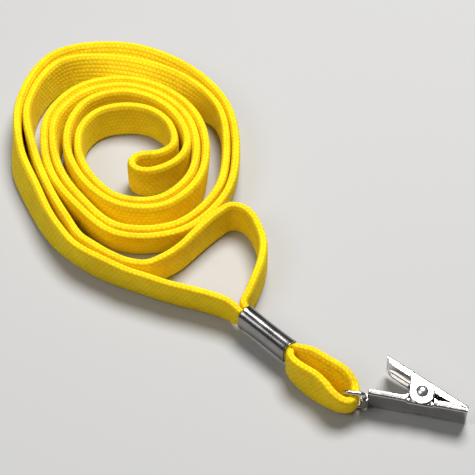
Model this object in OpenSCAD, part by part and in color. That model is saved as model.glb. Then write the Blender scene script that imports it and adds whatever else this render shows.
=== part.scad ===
// Neck lanyard with a bulldog clip: a flat braided cord, doubled and wound into an
// upright coil, a rolled crimp ferrule, a short end loop, a wire bail and a sprung clip.
// Millimetres, +Z up. The whole object lies on the plane z = 0.

/* [Braided cord] */
// Width of the flat braid, which stands on edge
cord_w = 10; // [9:0.5:11]
// Thickness of the braid
cord_t = 2.2; // [1.8:0.1:2.3]

/* [Crimp ferrule] */
// Length of the rolled sleeve
ferrule_len = 14; // [12:0.5:15]
// Height of the sleeve's oval section
ferrule_h = 6.4; // [6:0.1:7]
// Thickness of the sleeve's oval section
ferrule_w = 4.6; // [4.4:0.1:5]
// Sheet thickness of the sleeve
ferrule_wall = 0.5; // [0.4:0.05:0.6]
// Width of the open seam along the sleeve
seam_w = 0.4; // [0.3:0.05:0.6]

/* [Wire bail] */
// Diameter of the bail wire
wire_d = 1.0; // [0.8:0.05:1]
// Radial running clearance of the bail in the jaw's eye
bail_clearance = 0.05; // [0.03:0.01:0.1]

/* [Clip] */
// Width of both jaws
clip_w = 8; // [7.8:0.1:8.4]
// Sheet thickness of both jaws
sheet = 0.8; // [0.7:0.05:0.85]
// Length of the lower jaw without its eye
lower_len = 21.9; // [21.8:0.1:22.4]
// Angle between the two jaws at rest
jaw_angle = 23.5; // [23.4:0.1:23.6]
// Radius of the upper jaw's ears
ear_r = 2.8; // [2.6:0.1:2.9]
// Diameter of the rivet's shank
rivet_d = 1.8; // [1.6:0.1:2]
// Radial running clearance of the upper jaw on the rivet
rivet_clearance = 0.05; // [0.03:0.01:0.1]

/* [Spring] */
// Diameter of the spring wire
spring_wire_d = 0.5; // [0.4:0.05:0.55]
// Number of turns in the spring
spring_turns = 6; // [4:1:7]

/* [Hidden] */
$fn = 48;

// The clip lies on its side, leaning back on its lower jaw's edge and the rivet's head
clip_at = [3.4, -7.8, 0];
clip_yaw = -12.6;
clip_tilt = 13;

// The ferrule's centre and its heading
ferrule_at = [-18.8, 7.6, 6];
ferrule_yaw = -44;
face_gap = 0.3;

// Places in the clip's own plane: x along the lower jaw from its tail, y to the upper jaw
pivot = [11.55, 3.0];
eye_at = [-0.6, -0.5];
crossbar_at = [-5.2, -0.8];
upper_tail = [3.1, 9.85];
mouth_y = 0.98;

// Parts of the jaws
eye_wall = 0.4;
eye_low = 1.9;
eye_high = 6.6;
leg_low = 0.8;
leg_high = 9.0;
pin_low_end = 3.8;
pin_high_end = 4.8;
ear_gap = 0.05;
lower_ear_r = 2.0;
head_r = 1.35;
head_h = 0.6;
spring_gap = 0.4;
spring_leg_len = 6.5;

// Outline of the wound cord, seen from above, anticlockwise from its far side
COIL_OUTSIDE = [
    [-56, 97.5], [-66, 96.5], [-74, 92], [-79.5, 84.5], [-81.5, 74], [-81.5, 64],
    [-79, 53], [-74.5, 44], [-68.5, 36], [-61.5, 28.4], [-58.7, 32.2], [-52, 31.5],
    [-45, 32.5], [-37, 37.5], [-30, 44], [-25.5, 51.5], [-24, 60], [-25, 69],
    [-28.5, 79], [-34.5, 87.5], [-42.5, 93.5], [-49.5, 96.5]
];
// The open middle, with the cord's middle fold standing into it from the right
COIL_INSIDE = [
    [-43, 63], [-43.5, 68.5], [-47.5, 72.5], [-53.5, 73], [-59.5, 71], [-63, 66],
    [-63, 59], [-60.5, 53], [-56.5, 48.5], [-51.5, 45.5], [-46, 46], [-43, 49.5],
    [-44.5, 52], [-52, 52], [-52.5, 57], [-48.5, 59.5]
];

// Routes of the cord. Each row is [x, y] at mid height, the heights of the lower and
// upper edge, how far the upper edge leans in x and y, and the thickness.
TAIL_LEFT = [
    [-63.0, 31.0, 0, 10, -0.2, -0.5, 2.2],
    [-61.0, 29.5, 0, 10, -0.2, -0.5, 2.2],
    [-56.0, 26.5, 0, 10, -0.2, -0.5, 2.2],
    [-51.0, 24.0, 0, 10, -0.3, -0.8, 2.2],
    [-46.0, 22.0, 0, 10, -0.3, -0.8, 2.2],
    [-41.0, 20.0, 0, 10, -0.3, -0.8, 2.2],
    [-36.0, 18.5, 0, 10, -0.3, -0.8, 2.2],
    [-31.5, 17.0, 0, 10, -0.3, -0.8, 2.2],
    [-27.5, 15.0, 0.8, 9.6, -0.2, -0.4, 2.1],
    [-26.0, 13.5, 2.2, 9.0, 0, 0, 1.9],
    [-24.6, 12.1, 3.4, 8.6, 0, 0, 1.7]
];
TAIL_RIGHT = [
    [-61.5, 33.0, 0, 10, -0.2, -0.4, 2.2],
    [-59.5, 31.5, 0, 10, -0.2, -0.4, 2.2],
    [-55.0, 28.5, 0, 10, -0.2, -0.6, 2.2],
    [-50.5, 26.5, 0, 10, -0.2, -0.8, 2.2],
    [-46.5, 26.0, 0, 10, 0, -0.8, 2.2],
    [-43.0, 27.5, 0, 10, 0, -0.6, 2.2],
    [-39.0, 30.5, 0, 10, 0, -0.4, 2.2],
    [-36.0, 34.0, 0, 10, 0, -0.2, 2.2],
    [-32.5, 38.0, 0, 10, 0, 0, 2.2],
    [-30.0, 40.5, 0, 10, 0, 0, 2.2],
    [-27.0, 42.5, 0, 10, 0, 0, 2.2],
    [-24.5, 42.0, 0, 10, 0, 0, 2.2],
    [-22.0, 39.5, 0, 10, 0, 0, 2.2],
    [-20.5, 36.0, 0, 10, 0, 0, 2.2],
    [-19.5, 31.5, 0, 10, 0, 0, 2.2],
    [-20.0, 26.5, 0, 10, 0, 0, 2.2],
    [-21.5, 21.5, 0, 10, 0, 0, 2.2],
    [-23.0, 17.5, 0.8, 9.6, 0, 0, 2.1],
    [-24.1, 14.6, 2.2, 9.0, 0, 0, 1.9],
    [-23.4, 13.3, 3.4, 8.6, 0, 0, 1.7]
];
END_LOOP = [
    [-14.2, 1.9, 3.4, 8.6, 0, 0, 1.7],
    [-13.7, 1.2, 2.4, 9.2, 0, 0, 1.8],
    [-13.8, 0.2, 1.6, 9.6, 0, -0.2, 2],
    [-13.3, -0.9, 0.8, 9.9, -0.1, -0.3, 2.1],
    [-12.3, -2.1, 0.3, 10, -0.1, -0.3, 2.2],
    [-10.7, -3.6, 0, 10, 0, -0.1, 2.2],
    [-8.0, -5.9, 0, 10, 0.1, 0.1, 2.2],
    [-6.1, -7.7, 0.1, 10, -0.1, -0.3, 2.2],
    [-4.5, -9.3, 0.5, 9.6, -0.3, -0.7, 2.2],
    [-2.8, -10.3, 1.1, 8.6, -0.2, -0.8, 2.2],
    [-1.1, -10.4, 1.3, 7.9, -0.2, -0.8, 2.2],
    [0.1, -9.4, 1.4, 7.8, 0, -0.6, 2.2],
    [0.4, -8.0, 1.5, 7.8, 0, -0.2, 2.2],
    [0.1, -6.7, 1.5, 8.1, 0.2, 0, 2.2],
    [-0.8, -5.6, 1, 9.1, 0.3, 0.3, 2.2],
    [-2.1, -4.7, 0.3, 9.8, 0.5, 0.6, 2.2],
    [-4.0, -3.4, 0.1, 10, 0.6, 0.8, 2.2],
    [-5.9, -2.1, 0.1, 10, 0.6, 0.8, 2.2],
    [-7.8, -0.7, 0.1, 10, 0.6, 0.8, 2.2],
    [-9.5, 0.5, 0.4, 10, 0.5, 0.7, 2.2],
    [-11.0, 1.4, 1.2, 9.8, 0.3, 0.4, 2.1],
    [-12.2, 2.4, 2.4, 9.2, 0.1, 0.1, 1.8],
    [-12.9, 3.2, 3.4, 8.6, 0, 0, 1.7]
];

// The braid's section: across in half thicknesses, up in parts of the width
SECTION = [
    [-0.5, 0], [0.5, 0], [1, 0.06], [1, 0.94], [0.5, 1], [-0.5, 1], [-1, 0.94], [-1, 0.06]
];

function unit(v) = v / norm(v);
function heading(route, i) = unit([
    for (k = [0, 1]) route[min(i + 1, len(route) - 1)][k] - route[max(i - 1, 0)][k]
]);
function ring(row, h) = [
    for (p = SECTION)
        let (
            across = p[0] * row[6] / 2 * cord_t / 2.2,
            lean = 2 * p[1] - 1
        )
        [
            row[0] - h[1] * across + row[4] * lean,
            row[1] + h[0] * across + row[5] * lean,
            (row[2] + (row[3] - row[2]) * p[1]) * cord_w / 10
        ]
];
function ring_faces(count, sides) = [
    for (i = [0 : count - 2], k = [0 : sides - 1])
        let (a = i * sides + k, b = i * sides + (k + 1) % sides)
        each [[a, a + sides, b + sides], [a, b + sides, b]]
];

// A flat braid standing on edge along a route
module braid(route) {
    sides = len(SECTION);
    last = (len(route) - 1) * sides;
    polyhedron(
        points = [for (i = [0 : len(route) - 1]) each ring(route[i], heading(route, i))],
        faces = concat(
            ring_faces(len(route), sides),
            [[for (k = [0 : sides - 1]) k]],
            [[for (k = [sides - 1 : -1 : 0]) last + k]]
        ),
        convexity = 6
    );
}

module at_clip() {
    translate(clip_at)
        rotate([clip_tilt, 0, clip_yaw])
            children();
}

module at_ferrule() {
    translate(ferrule_at)
        rotate([0, 90, ferrule_yaw])
            children();
}

// An upright oval with its long side along x
module oval(long_side, short_side) {
    reach = (long_side - short_side) / 2;
    square([2 * reach, short_side], center = true);
    for (side = [-1, 1]) translate([side * reach, 0]) circle(d = short_side);
}

module neck_cord_coil() {
    color([0.96, 0.83, 0.12])
        linear_extrude(cord_w)
            difference() {
                polygon(COIL_OUTSIDE);
                polygon(COIL_INSIDE);
            }
}

module neck_cord_tail_left() {
    color([0.96, 0.83, 0.12]) braid(TAIL_LEFT);
}

module neck_cord_tail_right() {
    color([0.96, 0.83, 0.12]) braid(TAIL_RIGHT);
}

module end_loop() {
    color([0.96, 0.83, 0.12]) braid(END_LOOP);
}

// The braid's ends, squeezed together inside the sleeve
module crimped_braid() {
    slack = 2 * ferrule_wall + 0.1;
    color([0.85, 0.7, 0.08])
        at_ferrule()
            linear_extrude(ferrule_len + 2 * (face_gap - 0.05), center = true)
                oval(ferrule_h - slack, ferrule_w - slack);
}

module crimp_ferrule() {
    color([0.7, 0.7, 0.72])
        at_ferrule()
            linear_extrude(ferrule_len, center = true)
                difference() {
                    oval(ferrule_h, ferrule_w);
                    oval(ferrule_h - 2 * ferrule_wall, ferrule_w - 2 * ferrule_wall);
                    translate([ferrule_h / 2, 0]) square([3 * ferrule_wall, seam_w], center = true);
                }
}

// A round wire between two points, with round ends
module wire(from, to, d) {
    run = to - from;
    translate(from)
        rotate([0, acos(run[2] / norm(run)), atan2(run[1], run[0])])
            cylinder(d = d, h = norm(run));
    for (end = [from, to]) translate(end) sphere(d = d);
}

module wire_bail() {
    low = [crossbar_at[0], crossbar_at[1], leg_low];
    high = [crossbar_at[0], crossbar_at[1], leg_high];
    eye_under = [eye_at[0], eye_at[1], leg_low];
    eye_over = [eye_at[0], eye_at[1], leg_high];
    color([0.75, 0.75, 0.76])
        at_clip() {
            wire(low, high, wire_d);
            wire(low, eye_under, wire_d);
            wire(high, eye_over, wire_d);
            wire(eye_under, [eye_at[0], eye_at[1], pin_low_end], wire_d);
            wire(eye_over, [eye_at[0], eye_at[1], pin_high_end], wire_d);
        }
}

// Two copies of a flat shape, one at each side of the clip, set in from its faces
module both_sides(inset) {
    translate([0, 0, inset]) linear_extrude(sheet) children();
    translate([0, 0, clip_w - inset - sheet]) linear_extrude(sheet) children();
}

// The lower jaw's rolled eye, which holds the bail
module eye() {
    outer_r = wire_d / 2 + bail_clearance + eye_wall;
    translate([eye_at[0], eye_at[1], eye_low]) {
        cylinder(r = outer_r, h = eye_high - eye_low);
        translate([0, outer_r - eye_wall, 0]) cube([-eye_at[0] + 0.3, eye_wall, eye_high - eye_low]);
    }
}

module lower_jaw() {
    relief = sheet + ear_gap;
    tail_end = pivot[0] - ear_r - 0.15;
    nose_start = pivot[0] + ear_r + 0.15;
    color([0.78, 0.78, 0.8])
        at_clip()
            difference() {
                union() {
                    difference() {
                        cube([lower_len, sheet, clip_w]);
                        for (z = [-1, clip_w - relief])
                            translate([tail_end, -1, z]) cube([nose_start - tail_end, 3, relief + 1]);
                    }
                    both_sides(0) {
                        polygon([[0, 0], [0, 0.8], [0.5, 1.1], [tail_end, 1.3], [tail_end, 0]]);
                        polygon([
                            [nose_start, 0], [nose_start, 1.45], [17.6, 1.6], [19, 1.2],
                            [lower_len, 0.85], [lower_len, 0]
                        ]);
                    }
                    both_sides(relief) {
                        polygon([
                            [pivot[0] - 2.6, 0.4], [pivot[0] - lower_ear_r, pivot[1]],
                            [pivot[0] + lower_ear_r, pivot[1]], [pivot[0] + 2.6, 0.4]
                        ]);
                        translate(pivot) circle(r = lower_ear_r);
                    }
                    translate([lower_len - sheet, 0, 0]) cube([sheet, 0.9, clip_w]);
                    eye();
                }
                translate([pivot[0], pivot[1], -1]) cylinder(d = rivet_d + 0.04, h = clip_w + 2);
                translate([eye_at[0], eye_at[1], -1])
                    cylinder(r = wire_d / 2 + bail_clearance, h = clip_w + 2);
            }
}

// Height of the upper jaw's back over the lower jaw's at a distance from the tail
function back_y(x) = upper_tail[1] - (x - upper_tail[0]) * tan(jaw_angle);

module upper_jaw() {
    tip_x = 21.9;
    drop = sheet / cos(jaw_angle);
    mouth_x = upper_tail[0] + (upper_tail[1] - drop - mouth_y) / tan(jaw_angle);
    color([0.82, 0.82, 0.84])
        at_clip()
            difference() {
                union() {
                    linear_extrude(clip_w)
                        polygon([
                            upper_tail, [upper_tail[0] - 0.35, upper_tail[1] - 0.75],
                            [mouth_x, mouth_y], [tip_x + 0.2, mouth_y], [tip_x, back_y(tip_x)]
                        ]);
                    both_sides(0) {
                        polygon([
                            upper_tail, [upper_tail[0] - 0.35, upper_tail[1] - 0.75],
                            [3.5, 8.1], [4.4, 7.5], [9.3, 5.4], [9.3, back_y(9.3)]
                        ]);
                        polygon([
                            [9.3, back_y(9.3)], [9.3, 5.4], [pivot[0] - ear_r, pivot[1]],
                            [pivot[0] + ear_r, pivot[1]], [14.4, back_y(14.4)]
                        ]);
                        translate(pivot) circle(r = ear_r);
                        polygon([
                            [14.2, back_y(14.2)], [14.2, 3.05], [19, 1.3], [21.2, mouth_y],
                            [tip_x, back_y(tip_x)]
                        ]);
                    }
                }
                translate([pivot[0], pivot[1], -1])
                    cylinder(d = rivet_d + 2 * rivet_clearance, h = clip_w + 2);
            }
}

// One domed head of the rivet, its flat side on z = 0
module rivet_head() {
    ball_r = (head_r * head_r + head_h * head_h) / (2 * head_h);
    rotate_extrude()
        intersection() {
            translate([0, head_h - ball_r]) circle(r = ball_r);
            square([head_r, head_h]);
        }
}

module rivet_pin() {
    color([0.85, 0.85, 0.86])
        at_clip()
            translate([pivot[0], pivot[1], 0]) {
                translate([0, 0, -ear_gap]) cylinder(d = rivet_d, h = clip_w + 2 * ear_gap);
                translate([0, 0, clip_w + ear_gap]) rivet_head();
                translate([0, 0, -ear_gap]) mirror([0, 0, 1]) rivet_head();
            }
}

// The spring's turns lie side by side round the rivet, and its legs press on both tails
module torsion_spring() {
    mean_r = rivet_d / 2 + spring_gap + spring_wire_d / 2;
    low = clip_w / 2 - (spring_turns - 1) * spring_wire_d / 2;
    high = clip_w / 2 + (spring_turns - 1) * spring_wire_d / 2;
    color([0.6, 0.6, 0.62])
        at_clip()
            translate([pivot[0], pivot[1], 0]) {
                translate([0, 0, low - spring_wire_d / 2])
                    rotate_extrude()
                        translate([mean_r - spring_wire_d / 2, 0])
                            square([spring_wire_d, spring_turns * spring_wire_d]);
                wire([0, -mean_r, low], [-spring_leg_len, -mean_r, low], spring_wire_d);
                rotate([0, 0, -jaw_angle])
                    wire([0, mean_r, high], [-spring_leg_len, mean_r, high], spring_wire_d);
            }
}

neck_cord_coil();
neck_cord_tail_left();
neck_cord_tail_right();
crimped_braid();
crimp_ferrule();
end_loop();
wire_bail();
lower_jaw();
upper_jaw();
rivet_pin();
torsion_spring();
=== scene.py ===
import math

import bmesh
import bpy
import numpy as np
from mathutils import Matrix, Vector


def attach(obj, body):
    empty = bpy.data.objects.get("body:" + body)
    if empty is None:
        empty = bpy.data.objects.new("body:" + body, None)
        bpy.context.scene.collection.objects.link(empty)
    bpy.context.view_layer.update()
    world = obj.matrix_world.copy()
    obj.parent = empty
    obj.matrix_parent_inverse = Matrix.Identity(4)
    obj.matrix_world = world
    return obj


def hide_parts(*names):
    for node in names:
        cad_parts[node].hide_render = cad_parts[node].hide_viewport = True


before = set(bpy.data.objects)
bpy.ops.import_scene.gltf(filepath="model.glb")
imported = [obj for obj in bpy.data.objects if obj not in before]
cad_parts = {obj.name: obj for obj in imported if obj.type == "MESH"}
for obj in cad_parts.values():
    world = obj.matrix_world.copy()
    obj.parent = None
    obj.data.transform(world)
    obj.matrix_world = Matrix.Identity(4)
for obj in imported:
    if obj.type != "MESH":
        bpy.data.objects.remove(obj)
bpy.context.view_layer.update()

MM = 0.001

# ---- camera ---------------------------------------------------------------------------

AIM = Vector((-0.0255, 0.0400, 0.0))
EYE = Vector((-0.0255, -0.20626, 0.3152))
LENS = 125.8


def make_camera():
    data = bpy.data.cameras.new("camera")
    data.lens = LENS
    data.clip_start, data.clip_end = 0.01, 10
    camera = bpy.data.objects.new("camera", data)
    camera.location = EYE
    camera.rotation_mode = "QUATERNION"
    camera.rotation_quaternion = (AIM - EYE).to_track_quat("-Z", "Y")
    bpy.context.collection.objects.link(camera)
    bpy.context.scene.camera = camera


# ---- the braid's routes, in metres ----------------------------------------------------
# Each row is x, y at mid height, the heights of the lower and upper edge, how far the
# upper edge leans in x and y, and the thickness.

TAIL_LEFT = [
    (-0.0630, 0.0310, 0.0000, 0.0100, -0.0002, -0.0005, 0.0022),
    (-0.0610, 0.0295, 0.0000, 0.0100, -0.0002, -0.0005, 0.0022),
    (-0.0560, 0.0265, 0.0000, 0.0100, -0.0002, -0.0005, 0.0022),
    (-0.0510, 0.0240, 0.0000, 0.0100, -0.0003, -0.0008, 0.0022),
    (-0.0460, 0.0220, 0.0000, 0.0100, -0.0003, -0.0008, 0.0022),
    (-0.0410, 0.0200, 0.0000, 0.0100, -0.0003, -0.0008, 0.0022),
    (-0.0360, 0.0185, 0.0000, 0.0100, -0.0003, -0.0008, 0.0022),
    (-0.0315, 0.0170, 0.0000, 0.0100, -0.0003, -0.0008, 0.0022),
    (-0.0275, 0.0150, 0.0008, 0.0096, -0.0002, -0.0004, 0.0021),
    (-0.0260, 0.0135, 0.0022, 0.0090, 0.0000, 0.0000, 0.0019),
    (-0.0246, 0.0121, 0.0034, 0.0086, 0.0000, 0.0000, 0.0017),
]
TAIL_RIGHT = [
    (-0.0615, 0.0330, 0.0000, 0.0100, -0.0002, -0.0004, 0.0022),
    (-0.0595, 0.0315, 0.0000, 0.0100, -0.0002, -0.0004, 0.0022),
    (-0.0550, 0.0285, 0.0000, 0.0100, -0.0002, -0.0006, 0.0022),
    (-0.0505, 0.0265, 0.0000, 0.0100, -0.0002, -0.0008, 0.0022),
    (-0.0465, 0.0260, 0.0000, 0.0100, 0.0000, -0.0008, 0.0022),
    (-0.0430, 0.0275, 0.0000, 0.0100, 0.0000, -0.0006, 0.0022),
    (-0.0390, 0.0305, 0.0000, 0.0100, 0.0000, -0.0004, 0.0022),
    (-0.0360, 0.0340, 0.0000, 0.0100, 0.0000, -0.0002, 0.0022),
    (-0.0325, 0.0380, 0.0000, 0.0100, 0.0000, 0.0000, 0.0022),
    (-0.0300, 0.0405, 0.0000, 0.0100, 0.0000, 0.0000, 0.0022),
    (-0.0270, 0.0425, 0.0000, 0.0100, 0.0000, 0.0000, 0.0022),
    (-0.0245, 0.0420, 0.0000, 0.0100, 0.0000, 0.0000, 0.0022),
    (-0.0220, 0.0395, 0.0000, 0.0100, 0.0000, 0.0000, 0.0022),
    (-0.0205, 0.0360, 0.0000, 0.0100, 0.0000, 0.0000, 0.0022),
    (-0.0195, 0.0315, 0.0000, 0.0100, 0.0000, 0.0000, 0.0022),
    (-0.0200, 0.0265, 0.0000, 0.0100, 0.0000, 0.0000, 0.0022),
    (-0.0215, 0.0215, 0.0000, 0.0100, 0.0000, 0.0000, 0.0022),
    (-0.0230, 0.0175, 0.0008, 0.0096, 0.0000, 0.0000, 0.0021),
    (-0.0241, 0.0146, 0.0022, 0.0090, 0.0000, 0.0000, 0.0019),
    (-0.0234, 0.0133, 0.0034, 0.0086, 0.0000, 0.0000, 0.0017),
]
END_LOOP = [
    (-0.0142, 0.0019, 0.0034, 0.0086, 0.0000, 0.0000, 0.0017),
    (-0.0137, 0.0012, 0.0024, 0.0092, 0.0000, 0.0000, 0.0018),
    (-0.0138, 0.0002, 0.0016, 0.0096, 0.0000, -0.0002, 0.0020),
    (-0.0133, -0.0009, 0.0008, 0.0099, -0.0001, -0.0003, 0.0021),
    (-0.0123, -0.0021, 0.0003, 0.0100, -0.0001, -0.0003, 0.0022),
    (-0.0107, -0.0036, 0.0000, 0.0100, 0.0000, -0.0001, 0.0022),
    (-0.0080, -0.0059, 0.0000, 0.0100, 0.0001, 0.0001, 0.0022),
    (-0.0061, -0.0077, 0.0001, 0.0100, -0.0001, -0.0003, 0.0022),
    (-0.0045, -0.0093, 0.0005, 0.0096, -0.0003, -0.0007, 0.0022),
    (-0.0028, -0.0103, 0.0011, 0.0086, -0.0002, -0.0008, 0.0022),
    (-0.0011, -0.0104, 0.0013, 0.0079, -0.0002, -0.0008, 0.0022),
    (0.0001, -0.0094, 0.0014, 0.0078, 0.0000, -0.0006, 0.0022),
    (0.0004, -0.0080, 0.0015, 0.0078, 0.0000, -0.0002, 0.0022),
    (0.0001, -0.0067, 0.0015, 0.0081, 0.0002, 0.0000, 0.0022),
    (-0.0008, -0.0056, 0.0010, 0.0091, 0.0003, 0.0003, 0.0022),
    (-0.0021, -0.0047, 0.0003, 0.0098, 0.0005, 0.0006, 0.0022),
    (-0.0040, -0.0034, 0.0001, 0.0100, 0.0006, 0.0008, 0.0022),
    (-0.0059, -0.0021, 0.0001, 0.0100, 0.0006, 0.0008, 0.0022),
    (-0.0078, -0.0007, 0.0001, 0.0100, 0.0006, 0.0008, 0.0022),
    (-0.0095, 0.0005, 0.0004, 0.0100, 0.0005, 0.0007, 0.0022),
    (-0.0110, 0.0014, 0.0012, 0.0098, 0.0003, 0.0004, 0.0021),
    (-0.0122, 0.0024, 0.0024, 0.0092, 0.0001, 0.0001, 0.0018),
    (-0.0129, 0.0032, 0.0034, 0.0086, 0.0000, 0.0000, 0.0017),
]

# ---- the wound coil -------------------------------------------------------------------
# The doubled cord is wound from its middle fold outwards. Each strand has two turns and most
# of a third, given by the radius of its upper edge at every 30 degrees, anticlockwise from the
# right, in millimetres, and by how far it leans outwards there, in degrees.

COIL_CENTRE = (-0.0540, 0.0610)
BRAID_W = 0.0100
BRAID_T = 0.0022
STEP_ANGLE = 30

OUTER_TURNS = [
    (16.0, 16.7, 17.5, 18.4, 17.8, 15.1, 13.2, 12.7, 14.3, 18.0, 21.3, 21.6),
    (21.0, 21.2, 21.9, 23.0, 23.1, 21.4, 18.8, 18.5, 20.6, 27.1, 30.3, 29.8),
    (28.2, 29.5, 32.2, 36.6, 37.0, 30.2, 24.4, 22.9, 27.9),
]
OUTER_LEANS = [
    (0, 2, 5, 8, 6, 3, 0, 0, 0, -3, -3, 0),
    (8, 10, 13, 15, 13, 8, 3, 3, 8, 15, 16, 12),
    (2, 5, 28, 40, 20, 8, -14, -14, -4),
]
INNER_TURNS = [
    (12.3, 13.8, 14.0, 13.5, 13.1, 11.8, 10.5, 10.4, 12.0, 15.8, 18.9, 19.2),
    (18.6, 18.9, 19.6, 20.7, 20.8, 19.2, 16.6, 16.2, 18.3, 24.7, 28.0, 27.4),
    (25.8, 27.2, 29.2, 32.3, 33.4, 27.6, 21.5, 20.6, 24.6),
]
INNER_LEANS = [
    (0, 2, 4, 6, 4, 2, 0, 0, 0, -3, -3, 0),
    (6, 8, 12, 15, 13, 8, 3, 3, 8, 15, 16, 12),
    (2, 0, 34, 45, 12, 3, 0, 0, 2),
]

# The middle fold stands into the open middle of the coil.
OUTER_FOLD = [
    (-0.0464, 0.0587), (-0.0475, 0.0586), (-0.0488, 0.0584), (-0.0503, 0.0577), (-0.0512, 0.0562),
    (-0.0508, 0.0547), (-0.0495, 0.0537), (-0.0477, 0.0533), (-0.0460, 0.0535),
    (-0.0440, 0.0542), (-0.0420, 0.0553), (-0.0402, 0.0568), (-0.0388, 0.0587),
]
INNER_FOLD = [(-0.0470, 0.0586), (-0.0450, 0.0589), (-0.0433, 0.0597)]


def upright(x, y):
    return (x, y, 0.0, BRAID_W, 0.0, 0.0, BRAID_T)


def coil_row(bearing, radius, lean):
    """A route's row on the coil, from its upper edge's radius and its outward lean."""
    outward = np.array((math.cos(math.radians(bearing)), math.sin(math.radians(bearing))))
    half = BRAID_W / 2 * math.sin(math.radians(lean))
    middle = np.array(COIL_CENTRE) + outward * (radius * MM - half)
    low = 0.8 * BRAID_T / 2 * abs(math.sin(math.radians(lean)))
    high = low + BRAID_W * math.cos(math.radians(lean))
    return (*middle, low, high, *(outward * half), BRAID_T)


def coil_rows(turns, leans):
    rows = []
    for turn, (radii, tilts) in enumerate(zip(turns, leans)):
        for i, (radius, lean) in enumerate(zip(radii, tilts)):
            rows.append(coil_row(360 * turn + STEP_ANGLE * i, radius, lean))
    return rows


def strand_route(fold, turns, leans, tail):
    """From the crimp ferrule along the tail, through the coil's turns to the fold."""
    rows = [upright(x, y) for x, y in fold] + coil_rows(turns, leans) + tail
    return rows[::-1]


# ---- the braid's geometry -------------------------------------------------------------

RING_GAP = 0.0004
RING_SIDES = 28
STITCH = 0.0011
WALES = 20


def smooth(rows, gap):
    """The same line through the rows as one smooth curve, with evenly spaced rows."""
    rows = np.array(rows, float)
    runs = np.linalg.norm(np.diff(rows[:, :2], axis=0), axis=1)
    at = np.concatenate([[0], np.cumsum(runs)])
    slope = np.gradient(rows, at, axis=0)
    t = np.linspace(0, 1, 24, endpoint=False)[:, None]
    fine = [
        (2 * t**3 - 3 * t**2 + 1) * rows[i] + (t**3 - 2 * t**2 + t) * run * slope[i]
        + (3 * t**2 - 2 * t**3) * rows[i + 1] + (t**3 - t**2) * run * slope[i + 1]
        for i, run in enumerate(runs)
    ]
    fine = np.vstack(fine + [rows[-1:]])
    far = np.concatenate([[0], np.cumsum(np.linalg.norm(np.diff(fine[:, :2], axis=0), axis=1))])
    even = np.linspace(0, far[-1], round(far[-1] / gap) + 1)
    return np.column_stack([np.interp(even, far, column) for column in fine.T])


def braid_section():
    """The section's points, across and up from -1 to 1, from the middle of its lower edge."""
    section = []
    for k in range(RING_SIDES):
        a = 2 * math.pi * k / RING_SIDES - math.pi / 2
        across = math.copysign(abs(math.cos(a)) ** 0.85, math.cos(a))
        up = math.copysign(abs(math.sin(a)) ** 0.3, math.sin(a))
        section.append((across if k else 0.0, up))
    return section


def braid_mesh(name, rows):
    """A flat braid swept along evenly spaced rows, with stitches and wales as its UVs."""
    places = rows[:, :2]
    headings = np.gradient(places, axis=0)
    headings /= np.linalg.norm(headings, axis=1)[:, None]
    section = braid_section()
    bm = bmesh.new()
    uv = bm.loops.layers.uv.new("braid")
    rings = []
    for row, heading in zip(rows, headings):
        x, y, low, high, lean_x, lean_y, thick = row
        middle = Vector((x, y, (low + high) / 2))
        half_up = Vector((lean_x, lean_y, (high - low) / 2))
        across = Vector((heading[0], heading[1], 0)).cross(half_up).normalized() * (thick / 2)
        rings.append([bm.verts.new(middle + across * a + half_up * u) for a, u in section])
    for i in range(len(rings) - 1):
        for k in range(RING_SIDES):
            n = (k + 1) % RING_SIDES
            face = bm.faces.new((rings[i][k], rings[i][n], rings[i + 1][n], rings[i + 1][k]))
            face.smooth = True
            corners = ((i, k), (i, k + 1), (i + 1, k + 1), (i + 1, k))
            for loop, (along, around) in zip(face.loops, corners):
                loop[uv].uv = (along * RING_GAP / STITCH, wale_at(section, around))
    bm.faces.new(rings[0][::-1])
    bm.faces.new(rings[-1])
    bmesh.ops.recalc_face_normals(bm, faces=bm.faces)
    mesh = bpy.data.meshes.new(name)
    bm.to_mesh(mesh)
    bm.free()
    obj = bpy.data.objects.new(name, mesh)
    bpy.context.collection.objects.link(obj)
    return obj


def wale_at(section, around):
    """How many wales round the section a point lies, from the middle of the lower edge."""
    scaled = [(a * BRAID_T / 2, u * BRAID_W / 2) for a, u in section]
    steps = [math.dist(p, q) for p, q in zip(scaled, scaled[1:] + scaled[:1])]
    return WALES * sum(steps[:around]) / sum(steps)


# ---- cords ----------------------------------------------------------------------------


def make_strand(name, fold, turns, leans, tail, solids):
    """One strand of the neck cord, which ends on the other at the fold."""
    rows = smooth(strand_route(fold, turns, leans, tail), RING_GAP)
    strand = braid_mesh(name, rows)
    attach(strand, "lanyard")
    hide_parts(*solids)
    return strand


make_camera()
outer_strand = make_strand(
    "neck_cord_outer_strand", OUTER_FOLD, OUTER_TURNS, OUTER_LEANS, TAIL_LEFT,
    ["neck_cord_coil", "neck_cord_tail_left"],
)
inner_strand = make_strand(
    "neck_cord_inner_strand", INNER_FOLD, INNER_TURNS, INNER_LEANS, TAIL_RIGHT,
    ["neck_cord_tail_right"],
)


def make_end_loop():
    loop = braid_mesh("end_loop_braid", smooth(END_LOOP, RING_GAP))
    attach(loop, "lanyard")
    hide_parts("end_loop")
    return loop


end_loop = make_end_loop()

# ---- metal parts ----------------------------------------------------------------------
# CLIP and FERRULE place those parts, which are drawn in their own millimetres.

CLIP = (
    Matrix.Translation((0.0034, -0.0078, 0))
    @ Matrix.Rotation(math.radians(-12.6), 4, "Z")
    @ Matrix.Rotation(math.radians(13), 4, "X")
)
FERRULE = (
    Matrix.Translation((-0.0188, 0.0076, 0.006))
    @ Matrix.Rotation(math.radians(-44), 4, "Z")
    @ Matrix.Rotation(math.radians(90), 4, "Y")
)
EYE_AT = (-0.6, -0.5)
CROSSBAR_AT = (-5.2, -0.8)
PIVOT = (11.55, 3.0)
CLIP_W = 8.0
SHEET = 0.8
SHARP_ANGLE = 35

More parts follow.
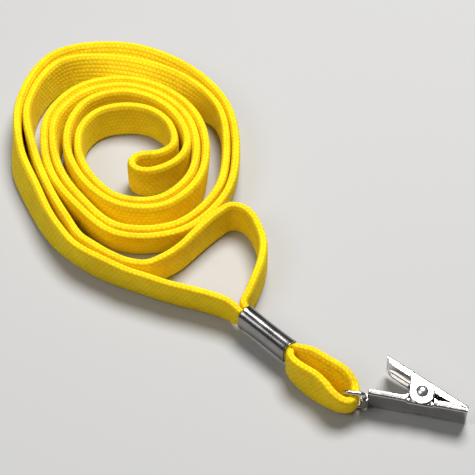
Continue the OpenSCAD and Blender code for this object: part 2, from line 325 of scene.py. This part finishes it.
# The upper jaw's back passes through UPPER_TAIL and slopes down at JAW_ANGLE, in degrees.
UPPER_TAIL = (3.1, 9.85)
JAW_ANGLE = 23.5
JAW_SLOPE = math.tan(math.radians(JAW_ANGLE))


def link_mesh(name, bm, matrix):
    bmesh.ops.recalc_face_normals(bm, faces=bm.faces)
    mesh = bpy.data.meshes.new(name)
    bm.to_mesh(mesh)
    bm.free()
    mesh.transform(matrix @ Matrix.Scale(MM, 4))
    obj = bpy.data.objects.new(name, mesh)
    bpy.context.collection.objects.link(obj)
    return obj


def round_edges(obj, width):
    bevel = obj.modifiers.new("round edges", "BEVEL")
    bevel.width = width * MM
    bevel.segments = 3
    bevel.limit_method = "ANGLE"
    bevel.angle_limit = math.radians(SHARP_ANGLE)
    obj.data.polygons.foreach_set("use_smooth", [True] * len(obj.data.polygons))
    weighted = obj.modifiers.new("even shading", "WEIGHTED_NORMAL")
    weighted.keep_sharp = True


def fillet(points, radius, steps=8):
    """The line through the points with its corners rounded, in the clip's millimetres."""
    points = [Vector(p) for p in points]
    line = [points[0]]
    for before, corner, after in zip(points, points[1:], points[2:]):
        one = (before - corner).normalized()
        two = (after - corner).normalized()
        half = one.angle(two) / 2
        centre = corner + (one + two).normalized() * (radius / math.sin(half))
        start = corner + one * (radius / math.tan(half)) - centre
        stop = corner + two * (radius / math.tan(half)) - centre
        for k in range(steps + 1):
            line.append(centre + start.slerp(stop, k / steps))
    return line + [points[-1]]


def wire_mesh(name, line, radius, matrix, sides=16):
    """A round wire along a line of points, with rounded ends."""
    line = [Vector(p) for p in line]
    bm = bmesh.new()
    rings = []
    side = None
    for i, point in enumerate(line):
        ahead = (line[min(i + 1, len(line) - 1)] - line[max(i - 1, 0)]).normalized()
        if side is None:
            side = ahead.orthogonal()
        side = (side - ahead * side.dot(ahead)).normalized()
        other = ahead.cross(side)
        size = radius * (0.6 if i in (0, len(line) - 1) else 1)
        rings.append([
            bm.verts.new(point + (side * math.cos(a) + other * math.sin(a)) * size)
            for a in (2 * math.pi * k / sides for k in range(sides))
        ])
    for one, two in zip(rings, rings[1:]):
        for k in range(sides):
            n = (k + 1) % sides
            bm.faces.new((one[k], one[n], two[n], two[k])).smooth = True
    bm.faces.new(rings[0][::-1])
    bm.faces.new(rings[-1])
    return link_mesh(name, bm, matrix)


def make_bail():
    """A staple of 1 mm wire, whose turned-in ends sit in the lower jaw's rolled eye."""
    low, high = 0.8, 9.0
    corners = [
        (*EYE_AT, 3.8), (*EYE_AT, low), (*CROSSBAR_AT, low),
        (*CROSSBAR_AT, high), (*EYE_AT, high), (*EYE_AT, 4.8),
    ]
    line = fillet(corners, 1.1)
    line[:1] = [Vector(corners[0]), Vector(corners[0]) - Vector((0, 0, 0.2))]
    line[-1:] = [Vector(corners[-1]) + Vector((0, 0, 0.2)), Vector(corners[-1])]
    bail = wire_mesh("bail_wire_staple", line, 0.5, CLIP)
    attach(bail, "bail")
    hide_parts("wire_bail")
    return bail


def make_spring():
    """Close turns side by side round the rivet, with a leg along each jaw."""
    wire_d, mean_r, turns, leg = 0.5, 1.55, 6, 6.5
    low = CLIP_W / 2 - (turns - 1) * wire_d / 2
    rise = (turns - 1) * wire_d
    start, stop = -90, 360 * (turns - 1) + 90 - JAW_ANGLE
    line = [Vector((PIVOT[0] - leg * (1 - k / 6), PIVOT[1] - mean_r, low)) for k in range(6)]
    for k in range(24 * turns + 1):
        part = k / (24 * turns)
        a = math.radians(start + (stop - start) * part)
        line.append(Vector((
            PIVOT[0] + mean_r * math.cos(a), PIVOT[1] + mean_r * math.sin(a), low + rise * part
        )))
    back = Vector((-math.cos(math.radians(JAW_ANGLE)), math.sin(math.radians(JAW_ANGLE)), 0))
    last = line[-1]
    line += [last + back * (leg * k / 6) for k in range(1, 7)]
    spring = wire_mesh("spring_coil", line, wire_d / 2, CLIP, sides=12)
    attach(spring, "clip")
    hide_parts("torsion_spring")
    return spring


def make_ferrule():
    """A sheet sleeve rolled to an upright oval, with its seam below."""
    length, tall, wide, wall, seam = 14.0, 6.4, 4.6, 0.5, 0.4
    straight = (tall - wide) / 2
    gap = math.asin(seam / wide)
    around = []
    for k in range(49):
        a = gap + (2 * math.pi - 2 * gap) * k / 48
        shift = straight * max(-1, min(1, 3 * math.cos(a)))
        around.append((math.cos(a), math.sin(a), shift))
    stations = [-7, -6.85, -6.5, -6, -4, -2, 0, 2, 4, 6, 6.5, 6.85, 7]
    bm = bmesh.new()
    rings = []
    for z in stations:
        flare = 0.08 * max(0, abs(z) - 6)
        squeeze = -0.10 * math.cos(math.pi * z / length) ** 2
        outer = wide / 2 + flare + squeeze
        ring = [bm.verts.new((c * outer + s, d * outer, z)) for c, d, s in around]
        inner = outer - wall
        ring += [bm.verts.new((c * inner + s, d * inner, z)) for c, d, s in around[::-1]]
        rings.append(ring)
    for one, two in zip(rings, rings[1:]):
        for k in range(len(one)):
            n = (k + 1) % len(one)
            bm.faces.new((one[k], one[n], two[n], two[k]))
    half = len(around)
    for ring in (rings[0], rings[-1]):
        for k in range(half - 1):
            bm.faces.new((ring[k], ring[k + 1], ring[2 * half - 2 - k], ring[2 * half - 1 - k]))
    ferrule = link_mesh("ferrule_sleeve", bm, FERRULE)
    round_edges(ferrule, 0.15)
    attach(ferrule, "lanyard")
    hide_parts("crimp_ferrule")
    return ferrule


def quarter_circle(centre, radius, start):
    """Seven points of a quarter circle that starts at an angle in quarter turns."""
    angles = [math.pi / 2 * (start + k / 6) for k in range(7)]
    return [(centre[0] + radius * math.cos(a), centre[1] + radius * math.sin(a)) for a in angles]


def channel_section(back, edge, inset, thick, bend):
    """A U-shaped sheet section in y and z: its back at y = back, its flanges up to the edge."""
    way = math.copysign(1, edge - back)
    deep = abs(edge - back)
    low, high = inset, CLIP_W - inset
    outline = []
    for shift, radius in ((0, min(bend, 0.9 * deep)), (SHEET, 0.2)):
        web = min(thick, 0.96 * deep) if shift else 0
        radius = min(radius, 0.9 * (deep - web)) if shift else radius
        under = quarter_circle((web + radius, low + shift + radius), radius, 2)[::-1]
        over = quarter_circle((web + radius, high - shift - radius), radius, 1)[::-1]
        line = [(deep, low + shift)] + under + over + [(deep, high - shift)]
        outline += line[::-1] if shift else line
    return [(back + way * y, z) for y, z in outline]


def pressed_jaw(name, stations, thick, bend):
    """A jaw bent up from sheet, swept through stations of x, back, edge and inset."""
    bm = bmesh.new()
    rings = [
        [bm.verts.new((x, y, z)) for y, z in channel_section(back, edge, inset, thick, bend)]
        for x, back, edge, inset in stations
    ]
    count = len(rings[0])
    for one, two in zip(rings, rings[1:]):
        for k in range(count):
            n = (k + 1) % count
            bm.faces.new((one[k], one[n], two[n], two[k]))
    for ring in (rings[0], rings[-1]):
        for k in range(count // 2 - 1):
            bm.faces.new((ring[k], ring[k + 1], ring[count - 2 - k], ring[count - 1 - k]))
    jaw = link_mesh(name, bm, CLIP)
    round_edges(jaw, 0.1)
    return jaw


def between(x, places):
    return float(np.interp(x, [p[0] for p in places], [p[1] for p in places]))


def make_upper_jaw():
    """The back slopes down to the mouth, and each flange widens to an ear on the rivet."""
    flange = [
        (2.9, 9.1), (3.5, 8.2), (4.4, 7.6), (8.1, 5.95), (8.5, 5.5), (8.7, 4.8), (8.8, 3.0),
        (14.3, 3.05), (14.6, 3.0), (19.0, 1.35), (21.2, 0.98), (22.0, 0.98),
    ]
    ear_r = 2.8
    ear = [PIVOT[0] - ear_r * math.cos(math.pi * k / 24) for k in range(25)]
    places = sorted([p[0] for p in flange] + [2.75, 3.1, 6.0, 16.5, 18.0, 20.2] + ear)
    stations = []
    for x in places:
        edge = between(x, flange)
        reach = ear_r**2 - (x - PIVOT[0]) ** 2
        if reach > 0:
            edge = min(edge, PIVOT[1] - math.sqrt(reach))
        stations.append((x, UPPER_TAIL[1] - (x - UPPER_TAIL[0]) * JAW_SLOPE, edge, 0))
    jaw = pressed_jaw("upper_jaw_pressing", stations, thick=0.87, bend=0.6)
    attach(jaw, "top_jaw")
    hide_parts("upper_jaw")
    return jaw


def make_lower_jaw():
    """A straight channel whose inset ears stand up inside the upper jaw's."""
    tail = [
        (0, 0.5), (0.1, 0.85), (0.35, 1.1), (0.8, 1.25), (2.5, 1.3), (7.9, 1.35), (8.3, 1.5), (8.6, 1.9),
    ]
    nose = [(14.5, 1.9), (14.8, 1.6), (15.2, 1.45), (17.6, 1.6), (19, 1.2), (21.6, 0.9), (21.9, 0.85)]
    ear_r = 2.0
    ear = [(8.62, 0.85), (8.95, 0.95), (9.2, 1.6)]
    for k in range(17):
        a = math.pi * k / 16
        ear.append((PIVOT[0] - ear_r * math.cos(a), PIVOT[1] + ear_r * math.sin(a)))
    ear += [(13.9, 1.6), (14.15, 0.95), (14.48, 0.85)]
    stations = [(x, 0, y, 0) for x, y in tail] + [(x, 0, y, 0.85) for x, y in ear]
    stations += [(x, 0, y, 0) for x, y in nose]
    jaw = pressed_jaw("lower_jaw_pressing", stations, thick=SHEET, bend=0.4)
    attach(jaw, "clip")
    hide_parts("lower_jaw")
    return jaw


def make_eye():
    """The tongue of the lower jaw's web, rolled round the bail's ends."""
    low, high, inner, wall = 1.9, 6.6, 0.55, 0.4
    lines = []
    for radius in (inner, inner + wall):
        line = [(0.4, EYE_AT[1] + radius), (0.0, EYE_AT[1] + radius)]
        for k in range(29):
            a = math.radians(90 + 335 * k / 28)
            line.append((EYE_AT[0] + radius * math.cos(a), EYE_AT[1] + radius * math.sin(a)))
        lines.append(line)
    outline = lines[0] + lines[1][::-1]
    bm = bmesh.new()
    ends = [[bm.verts.new((x, y, z)) for x, y in outline] for z in (low, high)]
    count = len(outline)
    for k in range(count):
        n = (k + 1) % count
        bm.faces.new((ends[0][k], ends[0][n], ends[1][n], ends[1][k]))
    for ring in ends:
        for k in range(count // 2 - 1):
            bm.faces.new((ring[k], ring[k + 1], ring[count - 2 - k], ring[count - 1 - k]))
    eye = link_mesh("lower_jaw_rolled_eye", bm, CLIP)
    round_edges(eye, 0.06)
    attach(eye, "clip")
    return eye


bail = make_bail()
spring = make_spring()
ferrule = make_ferrule()
lower_jaw = make_lower_jaw()
upper_jaw = make_upper_jaw()
eye = make_eye()
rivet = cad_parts["rivet_pin"]
crimped_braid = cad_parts["crimped_braid"]

# ---- materials ------------------------------------------------------------------------


def material(name):
    made = bpy.data.materials.new(name)
    made.use_nodes = True
    return made, made.node_tree, made.node_tree.nodes["Principled BSDF"]


def node(tree, kind, *inputs, **settings):
    """A node whose inputs, in order, are linked to sockets or set to values. None skips one."""
    made = tree.nodes.new(kind)
    for key, value in settings.items():
        setattr(made, key, value)
    for socket, value in zip(made.inputs, inputs):
        if isinstance(value, bpy.types.NodeSocket):
            tree.links.new(value, socket)
        elif value is not None:
            socket.default_value = value
    return made


def maths(tree, operation, *inputs):
    return node(tree, "ShaderNodeMath", *inputs, operation=operation).outputs[0]


def stretched(tree, place, factors):
    return node(tree, "ShaderNodeVectorMath", place, factors, operation="MULTIPLY").outputs[0]


def noise(tree, place, scale, detail=3.0, roughness=0.5):
    made = node(tree, "ShaderNodeTexNoise")
    tree.links.new(place, made.inputs["Vector"])
    made.inputs["Scale"].default_value = scale
    made.inputs["Detail"].default_value = detail
    made.inputs["Roughness"].default_value = roughness
    return made.outputs["Fac"]


def ramp(tree, value, *stops):
    """A colour ramp with stops of place and colour."""
    made = node(tree, "ShaderNodeValToRGB", value)
    while len(made.color_ramp.elements) < len(stops):
        made.color_ramp.elements.new(0.5)
    for element, (place, colour) in zip(made.color_ramp.elements, stops):
        element.position = place
        element.color = (*colour, 1)
    return made.outputs["Color"]


def spread(tree, value, low, high):
    return node(tree, "ShaderNodeMapRange", value, 0.3, 0.7, low, high).outputs[0]


def bump(tree, shader, height, strength, distance):
    made = node(tree, "ShaderNodeBump")
    made.inputs["Strength"].default_value = strength
    made.inputs["Distance"].default_value = distance
    tree.links.new(height, made.inputs["Height"])
    tree.links.new(made.outputs["Normal"], shader.inputs["Normal"])


def knit_height(tree, along, around):
    """Rows of V-shaped stitches, each row offset by half the length of one: 0 in the gaps, 1 on top.
    Besides the bump, it sets where the braid's colour is painted with shade.
    """
    row = maths(tree, "FLOOR", around)
    along = maths(tree, "MULTIPLY_ADD", row, 0.5, along)
    off_middle = maths(tree, "ABSOLUTE", maths(tree, "SUBTRACT", maths(tree, "FRACT", around), 0.5))
    along = maths(tree, "MULTIPLY_ADD", off_middle, 0.7, along)
    height = None
    for place in (along, around):
        wave = maths(tree, "SINE", maths(tree, "MULTIPLY", place, math.pi))
        wave = maths(tree, "ABSOLUTE", wave)
        height = maths(tree, "MULTIPLY", height, wave) if height else wave
    return maths(tree, "POWER", height, 0.6)


# The pinched braid has no UVs, so its stitches are counted per metre along each axis.
PINCHED_STITCHES = (1600, 900, 900)


def braid_material(name="yellow braid", use_uv=True):
    made, tree, shader = material(name)
    coords = node(tree, "ShaderNodeTexCoord").outputs
    if use_uv:
        where = node(tree, "ShaderNodeUVMap", uv_map="braid").outputs["UV"]
    else:
        where = stretched(tree, coords["Object"], PINCHED_STITCHES)
    parts = node(tree, "ShaderNodeSeparateXYZ", where).outputs
    height = knit_height(tree, parts["X"], parts["Y"])
    fuzz = noise(tree, coords["Object"], 2600, 2)
    patches = noise(tree, coords["Object"], 90, 3)
    grime = noise(tree, coords["Object"], 420, 4)
    raised = maths(tree, "MULTIPLY_ADD", fuzz, 0.35, height)
    # Painted shade: this ramp colours the gaps between stitches deep orange, as if in shade, and the
    # tops of the stitches yellow.
    knit_colour_with_gap_shade = ramp(
        tree, raised, (0.0, (0.90, 0.46, 0.0)), (0.5, (0.95, 0.66, 0.004)), (1.0, (0.97, 0.79, 0.020))
    )
    tint = ramp(tree, patches, (0.3, (0.92, 0.87, 0.80)), (0.7, (1.0, 1.0, 1.0)))
    dusty = ramp(tree, grime, (0.3, (0.93, 0.90, 0.9)), (0.6, (1.0, 1.0, 1.0)))
    first = node(tree, "ShaderNodeMix", data_type="RGBA", blend_type="MULTIPLY")
    second = node(tree, "ShaderNodeMix", data_type="RGBA", blend_type="MULTIPLY")
    for mix, one, two in ((first, knit_colour_with_gap_shade, tint), (second, first.outputs[2], dusty)):
        mix.inputs[0].default_value = 1.0
        tree.links.new(one, mix.inputs[6])
        tree.links.new(two, mix.inputs[7])
    tree.links.new(second.outputs[2], shader.inputs["Base Color"])
    tree.links.new(spread(tree, fuzz, 0.7, 0.92), shader.inputs["Roughness"])
    shader.inputs["Specular IOR Level"].default_value = 0.12
    shader.inputs["Sheen Weight"].default_value = 0.05
    shader.inputs["Sheen Roughness"].default_value = 0.5
    shader.inputs["Sheen Tint"].default_value = (1.0, 0.7, 0.05, 1)
    shader.inputs["Subsurface Weight"].default_value = 0.4
    shader.inputs["Subsurface Radius"].default_value = (1.0, 0.38, 0.03)
    shader.inputs["Subsurface Scale"].default_value = 0.0018
    bump(tree, shader, raised, 0.4, 0.0003)
    return made


def metal_material(name, dark, light, rough, scratch_stretch, bump_depth):
    """Polished or plated metal with smudges, fine scratches and uneven gloss."""
    made, tree, shader = material(name)
    coords = node(tree, "ShaderNodeTexCoord").outputs
    along = stretched(tree, coords["Object"], scratch_stretch)
    smudge = noise(tree, coords["Object"], 260, 4, 0.6)
    scratch = noise(tree, along, 900, 3, 0.7)
    pits = noise(tree, coords["Object"], 2400, 2)
    tree.links.new(ramp(tree, smudge, (0.35, dark), (0.65, light)), shader.inputs["Base Color"])
    worn = maths(tree, "MULTIPLY_ADD", scratch, 0.3, maths(tree, "MULTIPLY", smudge, 0.7))
    tree.links.new(spread(tree, worn, rough * 0.85, rough * 1.15), shader.inputs["Roughness"])
    shader.inputs["Metallic"].default_value = 1.0
    bump(tree, shader, maths(tree, "MULTIPLY_ADD", pits, 0.4, scratch), bump_depth, 0.00005)
    return made


def dress(obj, made):
    obj.data.materials.clear()
    obj.data.materials.append(made)


braid = braid_material()
pinched = braid_material("pinched braid", use_uv=False)
steel = metal_material(
    "rolled steel", (0.22, 0.22, 0.22), (0.32, 0.31, 0.30), 0.2, (1, 1, 0.1), 0.01
)
wire_steel = metal_material(
    "bail wire", (0.50, 0.49, 0.47), (0.70, 0.69, 0.67), 0.18, (0.2, 1, 1), 0.02
)
nickel = metal_material(
    "nickel plate", (0.50, 0.48, 0.46), (0.62, 0.60, 0.57), 0.13, (0.15, 1, 1), 0.01
)
rivet_metal = metal_material(
    "rivet metal", (0.74, 0.73, 0.71), (0.88, 0.87, 0.85), 0.28, (1, 1, 1), 0.02
)
spring_steel = metal_material(
    "spring steel", (0.35, 0.34, 0.33), (0.55, 0.54, 0.53), 0.3, (1, 1, 1), 0.05
)

for piece in (outer_strand, inner_strand, end_loop):
    dress(piece, braid)
dress(crimped_braid, pinched)
dress(ferrule, steel)
dress(bail, wire_steel)
dress(lower_jaw, nickel)
dress(upper_jaw, nickel)
dress(eye, nickel)
dress(rivet, rivet_metal)
dress(spring, spring_steel)

# ---- floor and light ------------------------------------------------------------------


def make_floor():
    bm = bmesh.new()
    bmesh.ops.create_grid(bm, x_segments=1, y_segments=1, size=1500)
    floor = link_mesh("floor", bm, Matrix.Identity(4))
    made, _, shader = material("pale floor")
    shader.inputs["Base Color"].default_value = (0.46, 0.455, 0.45, 1)
    shader.inputs["Roughness"].default_value = 0.8
    dress(floor, made)


def softbox(name, place, size, power):
    data = bpy.data.lights.new(name, "AREA")
    data.shape = "DISK"
    data.size = size
    data.energy = power
    light = bpy.data.objects.new(name, data)
    light.location = place
    light.rotation_mode = "QUATERNION"
    light.rotation_quaternion = (AIM - Vector(place)).to_track_quat("-Z", "Y")
    bpy.context.collection.objects.link(light)


def make_sky():
    world = bpy.data.worlds.new("studio")
    world.use_nodes = True
    world.node_tree.nodes["Background"].inputs["Color"].default_value = (0.93, 0.96, 1.0, 1)
    world.node_tree.nodes["Background"].inputs["Strength"].default_value = 0.10
    bpy.context.scene.world = world


bpy.context.scene.view_settings.view_transform = "Standard"
make_floor()
softbox("key softbox", (0.075, 0.235, 0.625), 0.32, 6.0)
softbox("fill softbox", (-0.35, -0.20, 0.50), 0.35, 1.0)
make_sky()
